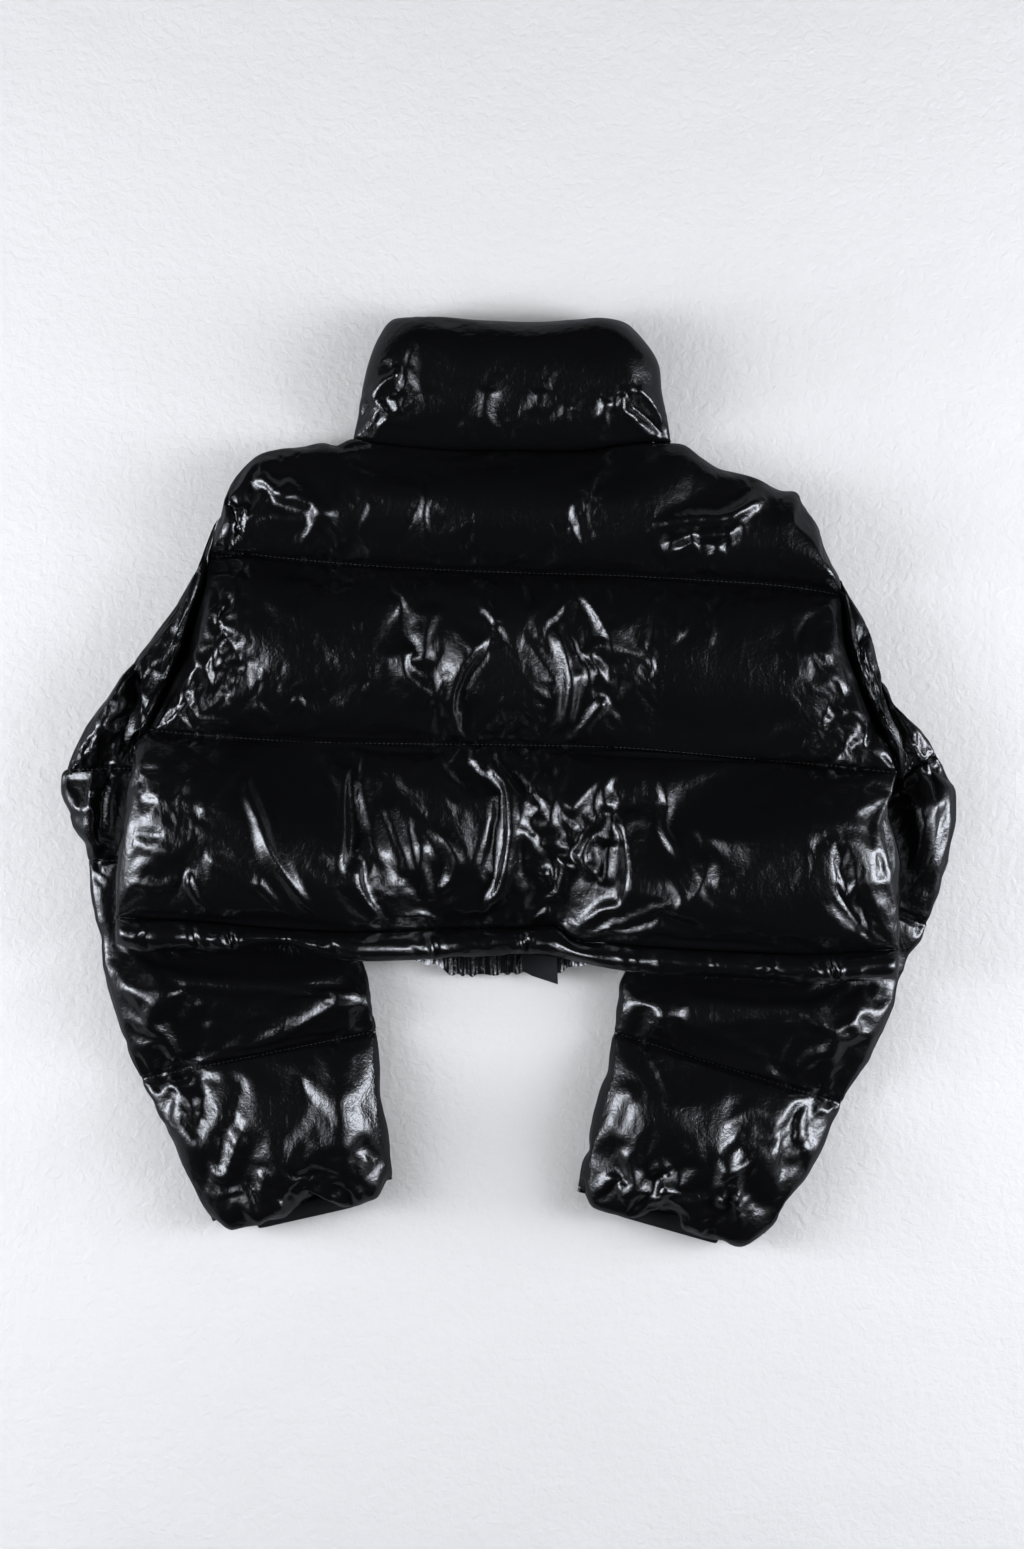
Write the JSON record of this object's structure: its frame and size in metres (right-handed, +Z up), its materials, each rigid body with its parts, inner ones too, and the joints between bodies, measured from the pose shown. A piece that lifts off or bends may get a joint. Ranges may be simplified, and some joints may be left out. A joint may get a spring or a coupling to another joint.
{
  "type": "puffer jacket",
  "caption": "Cropped padded jacket with a funnel collar, wide quilted baffles, full sleeves and a front zip, lying flat on its front with its back upwards.",
  "frame": {"origin": "middle of the laid-out outline, on the surface that the jacket lies on", "axes": "+Z up out of the back of the jacket, +Y towards the collar, +X towards the wearer's right side"},
  "size_m": [0.7167, 0.7534, 0.0966],
  "materials": {
    "glossy_nylon": "glossy coated black nylon over padding",
    "elastic_knit": "black elastic binding",
    "zip_tape": "black woven tape",
    "black_metal": "semi-gloss black"
  },
  "bodies": {
    "jacket": {"back": "glossy_nylon", "front_left": "glossy_nylon", "front_right": "glossy_nylon", "sleeve_left": "glossy_nylon", "sleeve_right": "glossy_nylon", "collar": "glossy_nylon", "hem_back": "glossy_nylon", "hem_front_left": "glossy_nylon", "hem_front_right": "glossy_nylon", "wind_flap": "glossy_nylon", "cuff_left": "elastic_knit", "cuff_right": "elastic_knit", "zip_tape_left": "zip_tape", "zip_tape_right": "zip_tape", "zip_slider": "black_metal"},
    "pull": {"zip_pull": "black_metal"}
  },
  "joints": [
    {"name": "pull_swing", "type": "hinge", "parent": "jacket", "child": "pull", "pos_m": [0.0028, 0.359, 0.0173], "axis": [1, 0, 0], "range_deg": [-40, 0]}
  ]
}
